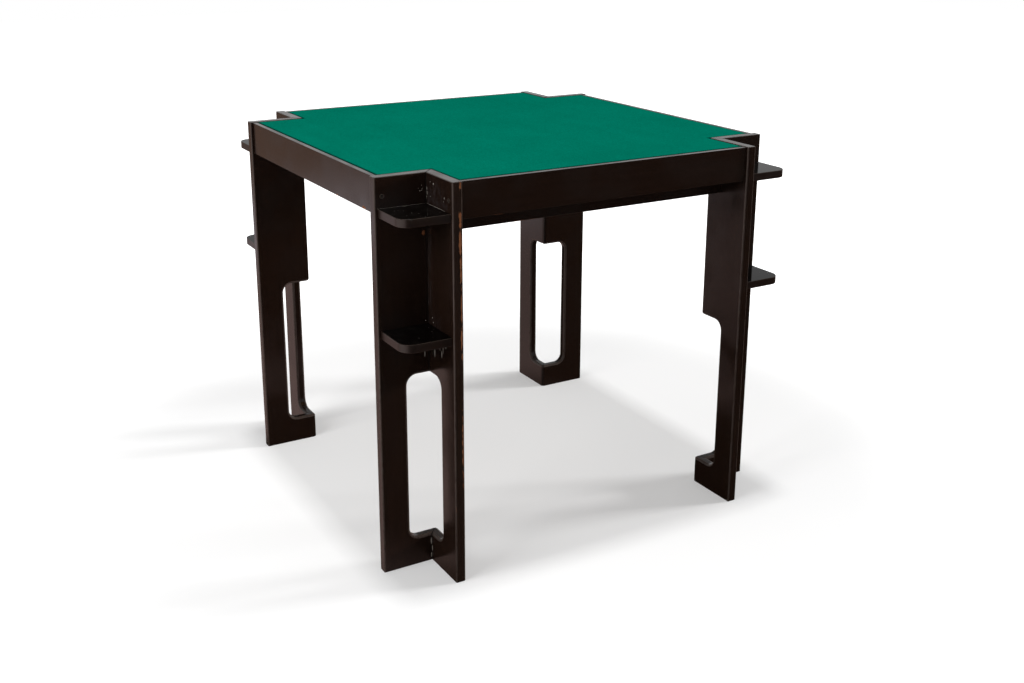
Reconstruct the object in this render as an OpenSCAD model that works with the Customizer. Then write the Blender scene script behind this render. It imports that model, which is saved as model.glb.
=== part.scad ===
// Square game table with a notch in each corner. Each leg is two upright boards,
// mitred together, that carry two small corner shelves. The aprons hold a loose
// felt-covered top panel, and two shallow drawers hang on runners under the top.
// Millimetres, +Z up, the front is towards -Y, and the origin is on the floor
// under the middle of the table.

/* [Table] */
// Width over the leg boards, along X
table_w = 850; // [700:10:1100]
// Depth over the leg boards, along Y
table_d = 850; // [700:10:1100]
// Height of the leg boards
table_h = 745; // [680:5:900]

/* [Legs] */
// Side of the square notch in each corner
notch = 98; // [80:1:120]
// Thickness of the leg boards
board_t = 19; // [16:0.5:23]
// Rounding of the outer upright arrises of a leg board
arris_r = 2.5; // [1:0.5:4]
// Rounding of the mitred inner corner of a leg
apex_r = 8; // [3:0.5:14]
// Height of the closed foot under the slot
foot_h = 56; // [30:1:100]
// Height of the top of the slot
slot_top = 378; // [250:1:455]
// Width of the upright beside the slot, in each board
upright_w = 54; // [35:1:70]
// Radius of the corners of the slot
slot_r = 20; // [5:1:25]

/* [Corner shelves] */
// Thickness of a shelf
shelf_t = 15; // [10:0.5:19]
// Distance of a shelf's free edges from the outer ends of the boards
shelf_inset = 6; // [2:0.5:12]
// Rounding of the free corner of a shelf
shelf_r = 25; // [10:1:40]
// Distance from the top of the table down to the upper shelf's top
upper_shelf_drop = 55; // [40:1:90]
// Distance from the top of the table down to the lower shelf's top
lower_shelf_drop = 273.5; // [150:0.5:300]

/* [Aprons] */
// Height of an apron
apron_h = 65; // [50:1:90]
// Thickness of an apron
apron_t = 19; // [16:0.5:24]
// Distance of an apron's face behind the ends of the leg boards
apron_recess = 5; // [2:0.5:12]
// Distance of an apron's top below the tops of the leg boards
apron_drop = 1; // [0:0.5:3]
// Width of the lip left outside the panel's rebate
lip_w = 9; // [5:0.5:12]

/* [Top panel] */
// Thickness of the panel board
panel_board_t = 15; // [12:0.5:18]
// Thickness of the felt on top
felt_t = 2; // [1:0.5:3]
// Thickness of the felt that wraps the panel's edges
felt_edge_t = 1.5; // [1:0.5:3]
// Gap all round the panel
panel_gap = 1.5; // [1:0.5:3]
// Distance of the felt below the tops of the leg boards
panel_drop = 0.5; // [0:0.5:3]
// Rounding of the outer corners of the panel
panel_r = 4; // [2.5:0.5:10]

/* [Drawers] */
// Distance of a drawer front behind the ends of the leg boards
drawer_setback = 76; // [60:1:85]
// Thickness of a drawer front
front_t = 18; // [14:0.5:22]
// Height of a drawer front
front_h = 36; // [32:1:60]
// Gap between a drawer front and the apron above it
drawer_top_gap = 2; // [1.5:0.5:5]
// Gap at each end of a drawer front
front_gap = 1.5; // [1:0.5:4]
// Thickness of the drawer sides
side_t = 12; // [10:0.5:15]
// Height by which the box stops short of the front's lower edge
box_lift = 4; // [2:0.5:8]
// Thickness of the drawer back
back_t = 10; // [8:0.5:14]
// Thickness of the drawer bottom
bottom_t = 4; // [3:0.5:6]
// Depth of the grooves that hold the drawer bottom
groove_d = 5; // [3:0.5:6]
// Depth of the housings in the front that take the drawer sides
housing_d = 6; // [4:0.5:9]
// Gap between the middle of the table and a drawer's back
back_gap = 14; // [8:1:60]
// How far a drawer pulls out
drawer_travel = 240; // [120:5:250]

/* [Drawer runners] */
// Width of the bearers under the panel
bearer_w = 18; // [15:0.5:24]
// Width of a drawer's hanging rail
rail_w = 10; // [9:0.5:14]
// Height of a drawer's hanging rail
rail_h = 11; // [9:0.5:14]
// Thickness of a runner's upright web
web_t = 8; // [8:0.5:12]
// Thickness of a runner's ledge
ledge_t = 7.7; // [6:0.1:10]
// Height of the rail across the middle
cross_rail_h = 36; // [25:1:45]
// Diameter of the stop dowels
dowel_d = 6; // [5:0.5:6.5]

/* [Screws] */
// Diameter of the apron screws
screw_d = 4; // [3.5:0.5:5]
// Length of the apron screws
screw_len = 50; // [40:1:60]
// Diameter of the screws inside the frame
small_screw_d = 3.5; // [3:0.5:4]
// Length of the screws that hold the bearers
bearer_screw_len = 32; // [28:1:34]
// Length of the screws that hold the runners
runner_screw_len = 40; // [30:1:50]

/* [Hidden] */
$fn = 48;
// Gap under what slides or is lifted out
rest_gap = 0.3;
// Radial gap round a screw or a dowel
hole_gap = 0.05;
// Play of the drawer bottom in its grooves
groove_play = 0.1;
// Side play of a hanging rail in its runner
slide_gap = 0.5;
// How far a cutting solid reaches past what it cuts
over = 1;

half_w = table_w / 2;
half_d = table_d / 2;
// Inner faces of the leg boards, which are also the ends of the aprons
inner_x = half_w - notch - board_t;
inner_y = half_d - notch - board_t;
apex = notch + board_t;

apron_top = table_h - apron_drop;
apron_bottom = apron_top - apron_h;
apron_mid = (apron_top + apron_bottom) / 2;
// Inner faces of the front and back aprons
apron_back = half_d - apron_recess - apron_t;

panel_top = table_h - panel_drop;
panel_bottom = panel_top - felt_t - panel_board_t;
seat_z = panel_bottom - rest_gap;

drawer_top = apron_bottom - drawer_top_gap;
drawer_bottom = drawer_top - front_h;
// Distances from the middle of the table to the faces of a drawer front
front_face = half_d - drawer_setback;
front_inside = front_face - front_t;
rail_outside = inner_x - web_t - slide_gap;
side_outside = rail_outside - rail_w;
side_inside = side_outside - side_t;
box_bottom = drawer_bottom + box_lift;
// Wood left under the groove that holds the drawer bottom
groove_lift = 3;
groove_bottom = box_bottom + groove_lift;
groove_h = bottom_t + 2 * groove_play;
rail_bottom = drawer_top - rail_h;
ledge_top = rail_bottom - rest_gap;
runner_bottom = ledge_top - ledge_t;
runner_end = front_inside - rest_gap;
// Clearance between a ledge and the drawer side that passes it
ledge_gap = 1;

// The stop dowel rides in a groove in the top of the hanging rail
stop_groove_w = dowel_d + 0.8;
stop_groove_d = 5;
stop_land = 10;
dowel_tip = drawer_top - stop_groove_d + 1;
dowel_in_bearer = 12;
stop_groove_end = back_gap + stop_land;
dowel_y = stop_groove_end + drawer_travel + rest_gap + dowel_d / 2;
dowel_x = (rail_outside + side_outside) / 2;

// Screw heads are countersunk and lie a little below the wood
head_sink = 0.3;
head_taper = 1;
recess_w = 0.9;
recess_depth = 1.2;
tip_len = 4;
runner_screw_x = inner_x - web_t / 2 - 0.5;
runner_screw_y = [-0.9, 0, 0.9];
bearer_screw_at = [0.27, 0.75];
bearer_mid = (apron_bottom + seat_z) / 2;

CORNERS = [["front_left", -1, -1], ["front_right", 1, -1],
           ["back_left", -1, 1], ["back_right", 1, 1]];
SIDES = [["front", 0, inner_x, half_d], ["back", 180, inner_x, half_d],
         ["left", -90, inner_y, half_w], ["right", 90, inner_y, half_w]];
SHELVES = [["upper", table_h - upper_shelf_drop], ["lower", table_h - lower_shelf_drop]];
HANDS = [["left", -1], ["right", 1]];
DRAWERS = [["front_drawer", -1], ["back_drawer", 1]];
DRAWER_PIECES = ["front", "left_side", "right_side", "back", "bottom",
                 "left_rail", "right_rail"];

// ---- Helpers ----

// Puts a shape drawn at the front left corner at the corner with these signs.
// At that corner the outer ends of the boards lie on x = 0 and y = 0.
module at_corner(sx, sy)
    mirror([sx > 0 ? 1 : 0, 0, 0]) mirror([0, sy > 0 ? 1 : 0, 0])
        translate([-half_w, -half_d, 0]) children();

// Mirrors a shape drawn on the right-hand side to the left-hand side.
module to_hand(side) mirror([side < 0 ? 1 : 0, 0, 0]) children();

// Mirrors a shape drawn for the front to the back.
module to_end(side) mirror([0, side > 0 ? 1 : 0, 0]) children();

// A box between two corners.
module block(low, high) translate(low) cube(high - low);

// What is cut off to round a corner at [0, 0] of a shape that lies up and right of it.
module corner_cut(r)
    difference() {
        translate([-over, -over]) square(r + over);
        translate([r, r]) circle(r);
    }

// A rectangle about the middle with its four corners rounded.
module rounded_slab(half_x, half_y, r)
    difference() {
        square([2 * half_x, 2 * half_y], center = true);
        for (sx = [0, 1], sy = [0, 1])
            mirror([sx, 0]) mirror([0, sy]) translate([-half_x, -half_y]) corner_cut(r);
    }

// A wood screw along +Z: its head lies at the top of the hole, at z = 0.
module screw(d, len) {
    translate([0, 0, head_sink])
        difference() {
            union() {
                cylinder(h = d / 2 / head_taper, r1 = d, r2 = d / 2);
                cylinder(h = len - tip_len, r = d / 2);
                translate([0, 0, len - tip_len]) cylinder(h = tip_len, r1 = d / 2, r2 = 0.2);
            }
            for (turn = [0, 90])
                rotate(turn)
                    translate([-0.6 * d, -recess_w / 2, -over])
                        cube([1.2 * d, recess_w, recess_depth + over]);
        }
}

// The countersunk hole that such a screw goes into.
module screw_hole(d, len) {
    r = d / 2 + hole_gap;
    cylinder(h = len + head_sink + hole_gap, r = r);
    translate([0, 0, -over])
        cylinder(h = head_sink + d / 2 / head_taper + over,
                 r1 = d + hole_gap + head_sink + over, r2 = r);
}

// ---- Where the screws go; each shape is drawn along its screw's axis ----

// The two apron screws of the leg at a corner: one through each wing.
module at_apron_screws(sx, sy, wing)
    at_corner(sx, sy) {
        reach = apron_recess + apron_t / 2;
        if (wing == "x") translate([reach, notch, apron_mid]) rotate([-90, 0, 0]) children();
        if (wing == "y") translate([notch, reach, apron_mid]) rotate([0, 90, 0]) children();
    }

// The bearer screws of one side and one end, from the bearer's inner face outwards.
module at_bearer_screws(side, end)
    to_hand(side) to_end(end)
        for (f = bearer_screw_at)
            translate([inner_x - bearer_w, -inner_y - f * (apron_back - inner_y), bearer_mid])
                rotate([0, 90, 0]) children();

// The runner screws of one side, from below.
module at_runner_screws(side)
    to_hand(side)
        for (f = runner_screw_y)
            translate([runner_screw_x, f * runner_end, runner_bottom]) children();

// The screw through one bearer into the end of the cross rail.
module at_cross_screw(side)
    to_hand(side) translate([inner_x, 0, seat_z - cross_rail_h / 2]) rotate([0, -90, 0]) children();

// The stop dowels of one side, one for each drawer.
module at_dowels(side)
    to_hand(side)
        for (end = [-1, 1]) translate([dowel_x, end * dowel_y, dowel_tip]) children();

// ---- Legs and shelves ----

// Seen from above: the board along X at the front left corner, mitred at its inner end.
module wing_plan()
    difference() {
        polygon([[0, notch], [notch, notch], [apex, apex], [0, apex]]);
        translate([0, notch]) corner_cut(arris_r);
        translate([0, apex]) mirror([0, 1]) corner_cut(arris_r);
        translate([apex, apex]) rotate(180) corner_cut(apex_r);
    }

// The slot's outline, seen square to the board; it runs out past the mitred edge.
module slot_outline() {
    width = apex + over - upright_w;
    translate([upright_w + slot_r, foot_h]) square([width - slot_r, slot_top - foot_h]);
    translate([upright_w, foot_h + slot_r]) square([width, slot_top - foot_h - 2 * slot_r]);
    for (z = [foot_h + slot_r, slot_top - slot_r]) translate([upright_w + slot_r, z]) circle(slot_r);
}

module wing() {
    difference() {
        linear_extrude(table_h) wing_plan();
        translate([0, apex + over, 0]) rotate([90, 0, 0])
            linear_extrude(board_t + 2 * over) slot_outline();
    }
}

module leg_wing_x(sx, sy)
    color("#2b211c")
        difference() {
            at_corner(sx, sy) wing();
            at_apron_screws(sx, sy, "x") screw_hole(screw_d, screw_len);
        }

module leg_wing_y(sx, sy)
    color("#2b211c")
        difference() {
            at_corner(sx, sy) mirror([1, -1, 0]) wing();
            at_apron_screws(sx, sy, "y") screw_hole(screw_d, screw_len);
            at_bearer_screws(sx, sy) screw_hole(small_screw_d, bearer_screw_len);
        }

module shelf(sx, sy, top)
    color("#1f1a18")
        at_corner(sx, sy)
            translate([0, 0, top - shelf_t])
                linear_extrude(shelf_t)
                    difference() {
                        translate([shelf_inset, shelf_inset]) square(notch - shelf_inset);
                        translate([shelf_inset, shelf_inset]) corner_cut(shelf_r);
                    }

// ---- Aprons, bearers, cross rail and runners ----

// An apron drawn at the front, between x = -half_len and x = half_len.
module apron(half_len, reach, turn)
    color("#261d19")
        rotate(turn)
            difference() {
                outside = -reach + apron_recess;
                block([-half_len, outside, apron_bottom],
                      [half_len, outside + apron_t, apron_top]);
                block([-half_len - over, outside + lip_w, seat_z],
                      [half_len + over, outside + apron_t + over, apron_top + over]);
                for (side = [-1, 1])
                    to_hand(side)
                        translate([half_len + board_t, outside + apron_t / 2, apron_mid])
                            rotate([0, -90, 0]) screw_hole(screw_d, screw_len);
            }

module bearer(side)
    color("#3a2c22")
        difference() {
            to_hand(side)
                block([inner_x - bearer_w, -apron_back, apron_bottom],
                      [inner_x, apron_back, seat_z]);
            for (end = [-1, 1]) at_bearer_screws(side, end) screw_hole(small_screw_d, bearer_screw_len);
            at_runner_screws(side) screw_hole(small_screw_d, runner_screw_len);
            at_cross_screw(side) screw_hole(small_screw_d, screw_len);
            at_dowels(side)
                cylinder(h = apron_bottom + dowel_in_bearer - dowel_tip + hole_gap,
                         r = dowel_d / 2 + hole_gap);
        }

module cross_rail()
    color("#3a2c22")
        difference() {
            block([-inner_x + bearer_w, -bearer_w / 2, seat_z - cross_rail_h],
                  [inner_x - bearer_w, bearer_w / 2, seat_z]);
            for (hand = HANDS) at_cross_screw(hand[1]) screw_hole(small_screw_d, screw_len);
        }

module runner(side)
    color("#6b4a30")
        difference() {
            to_hand(side)
                union() {
                    block([inner_x - web_t, -runner_end, runner_bottom],
                          [inner_x, runner_end, apron_bottom]);
                    block([side_outside + ledge_gap, -runner_end, runner_bottom],
                          [inner_x, runner_end, ledge_top]);
                }
            at_runner_screws(side) screw_hole(small_screw_d, runner_screw_len);
        }

// ---- Fasteners ----

module stop_dowels()
    color("#c9a878")
        for (hand = HANDS)
            at_dowels(hand[1])
                cylinder(h = apron_bottom + dowel_in_bearer - dowel_tip, r = dowel_d / 2);

module apron_screws()
    color("#5a554e")
        for (c = CORNERS, wing = ["x", "y"])
            at_apron_screws(c[1], c[2], wing) screw(screw_d, screw_len);

module bearer_screws()
    color("#8a8478")
        for (c = CORNERS) at_bearer_screws(c[1], c[2]) screw(small_screw_d, bearer_screw_len);

module runner_screws()
    color("#8a8478")
        for (hand = HANDS) at_runner_screws(hand[1]) screw(small_screw_d, runner_screw_len);

module cross_rail_screws()
    color("#8a8478")
        for (hand = HANDS) at_cross_screw(hand[1]) screw(small_screw_d, screw_len);

// ---- Drawers, drawn as the front one, with the rear end towards the middle ----

// The groove for the drawer bottom, as wide as it needs, in the front and the sides.
module bottom_groove(half_x, front_y, rear_y)
    block([-half_x, front_y, groove_bottom - groove_play],
          [half_x, rear_y, groove_bottom - groove_play + groove_h]);

module drawer_front()
    color("#241c18")
        difference() {
            block([-inner_x + front_gap, -front_face, drawer_bottom],
                  [inner_x - front_gap, -front_inside, drawer_top]);
            for (side = [-1, 1])
                to_hand(side)
                    block([side_inside, -front_inside - housing_d, box_bottom],
                          [side_outside, -front_inside + over, drawer_top + over]);
            bottom_groove(side_inside + over, -front_inside - groove_d, -front_inside + over);
        }

module drawer_side(side)
    color("#8a6240")
        difference() {
            to_hand(side)
                block([side_inside, -front_inside - housing_d, box_bottom],
                      [side_outside, -back_gap, drawer_top]);
            bottom_groove(side_inside + groove_d, -front_inside - housing_d - over, -back_gap + over);
        }

module drawer_back()
    color("#8a6240")
        block([-side_inside, -back_gap - back_t, groove_bottom + bottom_t + groove_play],
              [side_inside, -back_gap, drawer_top]);

module drawer_bottom()
    color("#a98a62")
        block([-side_inside - groove_d + groove_play, -front_inside - groove_d + groove_play,
               groove_bottom],
              [side_inside + groove_d - groove_play, -back_gap, groove_bottom + bottom_t]);

module drawer_rail(side)
    color("#6b4a30")
        to_hand(side)
            difference() {
                block([side_outside, -front_inside, rail_bottom],
                      [rail_outside, -back_gap, drawer_top]);
                block([dowel_x - stop_groove_w / 2, -dowel_y - dowel_d, drawer_top - stop_groove_d],
                      [dowel_x + stop_groove_w / 2, -stop_groove_end, drawer_top + over]);
            }

module drawer_piece(piece, end)
    to_end(end) {
        if (piece == "front") drawer_front();
        if (piece == "left_side") drawer_side(-1);
        if (piece == "right_side") drawer_side(1);
        if (piece == "back") drawer_back();
        if (piece == "bottom") drawer_bottom();
        if (piece == "left_rail") drawer_rail(-1);
        if (piece == "right_rail") drawer_rail(1);
    }

// ---- Top panel ----

// The panel's cross-shaped outline, drawn in by a margin.
module panel_outline(margin) {
    arm_x = inner_x - panel_gap - margin;
    arm_y = inner_y - panel_gap - margin;
    reach_x = half_w - apron_recess - lip_w - panel_gap - margin;
    reach_y = half_d - apron_recess - lip_w - panel_gap - margin;
    rounded_slab(reach_x, arm_y, panel_r - margin);
    rounded_slab(arm_x, reach_y, panel_r - margin);
}

module top_panel_board()
    color("#b08d5f")
        translate([0, 0, panel_bottom]) linear_extrude(panel_board_t) panel_outline(felt_edge_t);

module top_panel_felt()
    color("#027058")
        difference() {
            translate([0, 0, panel_bottom]) linear_extrude(panel_board_t + felt_t) panel_outline(0);
            translate([0, 0, panel_bottom - over])
                linear_extrude(panel_board_t + over) panel_outline(felt_edge_t);
        }

// ---- Which pieces are drawn ----

for (c = CORNERS) {
    leg_wing_x(c[1], c[2]);
    leg_wing_y(c[1], c[2]);
}
for (s = SHELVES, c = CORNERS)
    shelf(c[1], c[2], s[1]);
for (s = SIDES)
    apron(s[2], s[3], s[1]);
for (h = HANDS) {
    bearer(h[1]);
    runner(h[1]);
}
cross_rail();
stop_dowels();
apron_screws();
bearer_screws();
runner_screws();
cross_rail_screws();
for (d = DRAWERS, p = DRAWER_PIECES)
    drawer_piece(p, d[1]);
top_panel_board();
top_panel_felt();
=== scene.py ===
"""Looks of a square mahjong table: lacquered boards, felt top, corner shelves and two hanging drawers.

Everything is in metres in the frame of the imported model, with +Z up and the front towards -Y.
"""

import logging
import math
import random
from dataclasses import dataclass
from enum import Enum
from functools import lru_cache, partial
from typing import Any, Callable, Iterable, Sequence

import bmesh
import bpy
from mathutils import Matrix, Vector


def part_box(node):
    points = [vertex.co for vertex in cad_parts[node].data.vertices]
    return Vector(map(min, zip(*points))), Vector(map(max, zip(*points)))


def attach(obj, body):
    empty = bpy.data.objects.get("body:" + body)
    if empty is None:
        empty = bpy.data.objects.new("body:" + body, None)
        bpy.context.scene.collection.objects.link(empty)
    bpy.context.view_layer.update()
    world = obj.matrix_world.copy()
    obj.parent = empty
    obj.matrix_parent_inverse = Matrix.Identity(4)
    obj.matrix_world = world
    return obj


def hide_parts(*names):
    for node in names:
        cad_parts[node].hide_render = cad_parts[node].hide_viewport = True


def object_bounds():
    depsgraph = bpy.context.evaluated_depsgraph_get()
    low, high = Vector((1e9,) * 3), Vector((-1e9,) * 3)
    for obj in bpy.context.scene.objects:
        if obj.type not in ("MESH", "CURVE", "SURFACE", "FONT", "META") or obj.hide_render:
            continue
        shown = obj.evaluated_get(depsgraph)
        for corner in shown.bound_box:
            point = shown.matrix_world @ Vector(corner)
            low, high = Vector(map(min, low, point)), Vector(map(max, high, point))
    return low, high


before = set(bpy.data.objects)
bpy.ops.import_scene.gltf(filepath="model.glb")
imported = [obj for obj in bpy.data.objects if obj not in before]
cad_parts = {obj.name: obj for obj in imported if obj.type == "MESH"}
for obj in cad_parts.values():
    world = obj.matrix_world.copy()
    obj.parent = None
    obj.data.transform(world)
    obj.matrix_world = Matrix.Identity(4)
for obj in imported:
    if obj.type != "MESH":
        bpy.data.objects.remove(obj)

logging.basicConfig(level=logging.INFO, format="%(name)s: %(message)s")
log = logging.getLogger("table")

MM = 0.001
WELD = 0.01 * MM  # points nearer to each other than this are one point
TOUCH = 0.1 * MM  # a point nearer to a joint than this lies on it
CAD_BOX = [list(corner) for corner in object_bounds()]
CORNERS = ("front_left", "front_right", "back_right", "back_left")
WHITE = (1.0, 1.0, 1.0, 1.0)
SMOOTH = {"interpolation_type": "SMOOTHSTEP"}  # for a Map Range node with soft ends

Socket = bpy.types.NodeSocket
Tree = bpy.types.NodeTree
Mesh = bpy.types.Mesh
Material = bpy.types.Material
Piece = bpy.types.Object
Point = tuple[float, float, float]
Adder = Callable[..., Socket]  # the function add, bound to a tree
Paint = tuple[Socket, Socket]  # the colour and the roughness of a surface
JointTest = Callable[[Vector], bool]  # says whether a point lies where a board meets another one


# ---- Small helpers ----


def srgb(code: str) -> tuple[float, float, float, float]:
    """Turns an sRGB code of six hex digits after a hash into a linear colour with an alpha of 1."""
    channels = [int(code[i : i + 2], 16) / 255 for i in (1, 3, 5)]
    linear = [c / 12.92 if c <= 0.04045 else ((c + 0.055) / 1.055) ** 2.4 for c in channels]
    return (*linear, 1.0)


def feed(tree: Tree, node: bpy.types.Node, inputs: dict[Any, Any]) -> None:
    """Gives a node's inputs, by name or number, each a value, a hex colour, a socket or a list of sockets."""
    for key, value in inputs.items():
        if isinstance(value, Socket):
            tree.links.new(value, node.inputs[key])
        elif node.inputs[key].is_multi_input:
            for part in value:
                tree.links.new(part, node.inputs[key])
        elif value is not None:
            node.inputs[key].default_value = srgb(value) if str(value).startswith("#") else value


def having(thing: Any, **settings: Any) -> Any:
    """Sets attributes of a thing and returns it."""
    for name, value in settings.items():
        setattr(thing, name, value)
    return thing


def add(tree: Tree, kind: str, *inputs: Any, out: str | None = None, **settings: Any) -> Socket:
    """Adds a node with its settings and links.

    Args:
        tree: The material's, world's or modifier's node tree.
        kind: The node's type name, without ShaderNode, and its operation or data type after a space.
        inputs: What feed takes, for the inputs that the node shows, in their order, or one dict by name.
        out: Name of the output that is wanted, if it is not the first that the node shows.
        settings: Attribute values of the node.

    Returns:
        The output socket, whose node attribute is the new node. A node with no output gives its first input.
    """
    kind, _, mode = kind.partition(" ")
    node = tree.nodes.new(kind if "Node" in kind else f"ShaderNode{kind}")
    if mode:
        settings["operation" if hasattr(node, "operation") else "data_type"] = mode
    having(node, **settings)
    shown = [number for number, socket in enumerate(node.inputs) if socket.enabled]
    feed(tree, node, inputs[0] if inputs and isinstance(inputs[0], dict) else dict(zip(shown, inputs)))
    if out:
        return node.outputs[out]
    return next((socket for socket in node.outputs if socket.enabled), None) or node.inputs[0]


def link_object(name: str, data: bpy.types.ID, *materials: Material) -> Piece:
    """Puts a mesh, a lamp or a camera in the scene as an object at the origin, with its materials."""
    piece = bpy.data.objects.new(name, data)
    bpy.context.collection.objects.link(piece)
    for material in materials:
        data.materials.append(material)
    return piece


def bake_modifiers(piece: Piece) -> None:
    """Turns a piece's modifiers into plain mesh and removes them."""
    graph = bpy.context.evaluated_depsgraph_get()
    final = bpy.data.meshes.new_from_object(piece.evaluated_get(graph), preserve_all_data_layers=True,
                                            depsgraph=graph)
    piece.modifiers.clear()
    final.name = piece.name
    piece.data = final


def shade_flats_flat(piece: Piece) -> None:
    """Weighs the shading normals by face area, so that flat boards shade flat right up to their arrises."""
    having(piece.modifiers.new("even_shading", "WEIGHTED_NORMAL"), mode="FACE_AREA", weight=100,
           keep_sharp=True)
    bake_modifiers(piece)


def hand_in(piece: Piece, body: str, slot: str, nodes: Iterable[str] = ()) -> None:
    """Puts a finished piece on the body that it rides on, and hides the nodes that it stands for."""
    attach(piece, body)
    if nodes:
        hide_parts(*nodes)
    log.info("%s: %d faces, on %s", piece.name, len(piece.data.polygons), body)


# ---- Finishes ----


class Grain(Enum):
    """The direction that a board's grain runs in."""

    X = 0
    Y = 1
    Z = 2

    @staticmethod
    def of(node: str) -> "Grain":
        """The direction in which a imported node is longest."""
        low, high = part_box(node)
        size = [high[i] - low[i] for i in range(3)]
        return Grain(size.index(max(size)))

    def lines(self, across: float, along: float) -> Sequence[float]:
        """Pattern repeats per metre, from the width and the length of one line of grain in metres."""
        scale = [1 / across] * 3
        scale[self.value] = 1 / along
        return scale

    def ends_of(self, node: str) -> JointTest:
        """A test of whether a point lies on one of a rail's two ends."""
        ends = [corner[self.value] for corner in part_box(node)]
        return lambda point: min(abs(point[self.value] - end) for end in ends) < TOUCH


def placed(node: Adder, scale: float | Sequence[float], shift: Point = (0.0, 0.0, 0.0)) -> Socket:
    """The object's own coordinates, scaled to a pattern's repeats per metre, for a texture of scale 1.

    Args:
        node: Adds a node to the material's tree.
        scale: Repeats per metre, the same or different along X, Y and Z.
        shift: An offset that keeps two patterns of one scale apart.

    Returns:
        The vector that a texture reads. After it and its scale, a noise takes its detail and roughness.
    """
    scales = [scale] * 3 if isinstance(scale, float) else scale
    return node("Mapping", node("TexCoord", out="Object"), shift, None, scales)


def covered(node: Adder, mask: Socket, under: Paint, colour: Any, rough: float) -> Paint:
    """Lays a colour, given as a hex code or a socket, and a roughness over a paint where a mask is 1."""
    return (node("Mix RGBA", mask, under[0], colour), node("Mix", mask, under[1], rough))


def with_joint_dirt(node: Adder, paint: Paint) -> Paint:
    """Draws the hair line of dirt in the legs' mitres, which stand on the table's diagonals."""
    aside = node("VectorMath ABSOLUTE", node("TexCoord", out="Object"))
    across = node("SeparateXYZ", aside).node.outputs
    off = node("Math ABSOLUTE", node("Math SUBTRACT", across["X"], across["Y"]))
    return covered(node, node("MapRange", off, 1.5 * MM, 0.9 * MM), paint, "#080504", 0.9)


@dataclass(frozen=True)
class RaggedMark:
    """An oval patch with a ragged edge, in millimetres, where a finish is worn, chipped or smeared."""

    centre: Point
    half_size: Point
    ragged: float = 2.4
    tooth: Point = (1.4, 1.4, 7.0)
    soft: float = 0.15  # share of the patch over which it fades out

    def mask(self, node: Adder) -> Socket:
        """Builds the patch's mask: 1 inside the patch and 0 outside it."""
        centre, half_size = ([size * MM for size in sizes] for sizes in (self.centre, self.half_size))
        here = node("TexCoord", out="Object")
        local = node("Mapping", here, centre, None, half_size, vector_type="TEXTURE")
        far = node("VectorMath LENGTH", local)
        place = placed(node, [1 / (t * MM) for t in self.tooth], self.centre)
        cut = node("Math MULTIPLY_ADD", node("TexNoise", place, 1.0, 3.0), self.ragged, -0.5 * self.ragged)
        return node("MapRange", node("Math ADD", far, cut), 1.0, 1.0 - self.soft, **SMOOTH)


class Finish:
    """What all finishes share: a material named for what it is, made from the finish's own shader."""

    name: str

    def shader(self, node: Adder) -> Socket:
        """Adds the finish's nodes to its material's tree, which node is bound to, and returns its shader."""
        raise NotImplementedError

    @lru_cache(maxsize=None)
    def material(self) -> Material:
        """The finish's material, which is built once and then shared."""
        material = bpy.data.materials.new(self.name)
        material.use_nodes = True
        tree = material.node_tree
        tree.nodes.clear()
        add(tree, "OutputMaterial", self.shader(partial(add, tree)))
        return material


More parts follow.
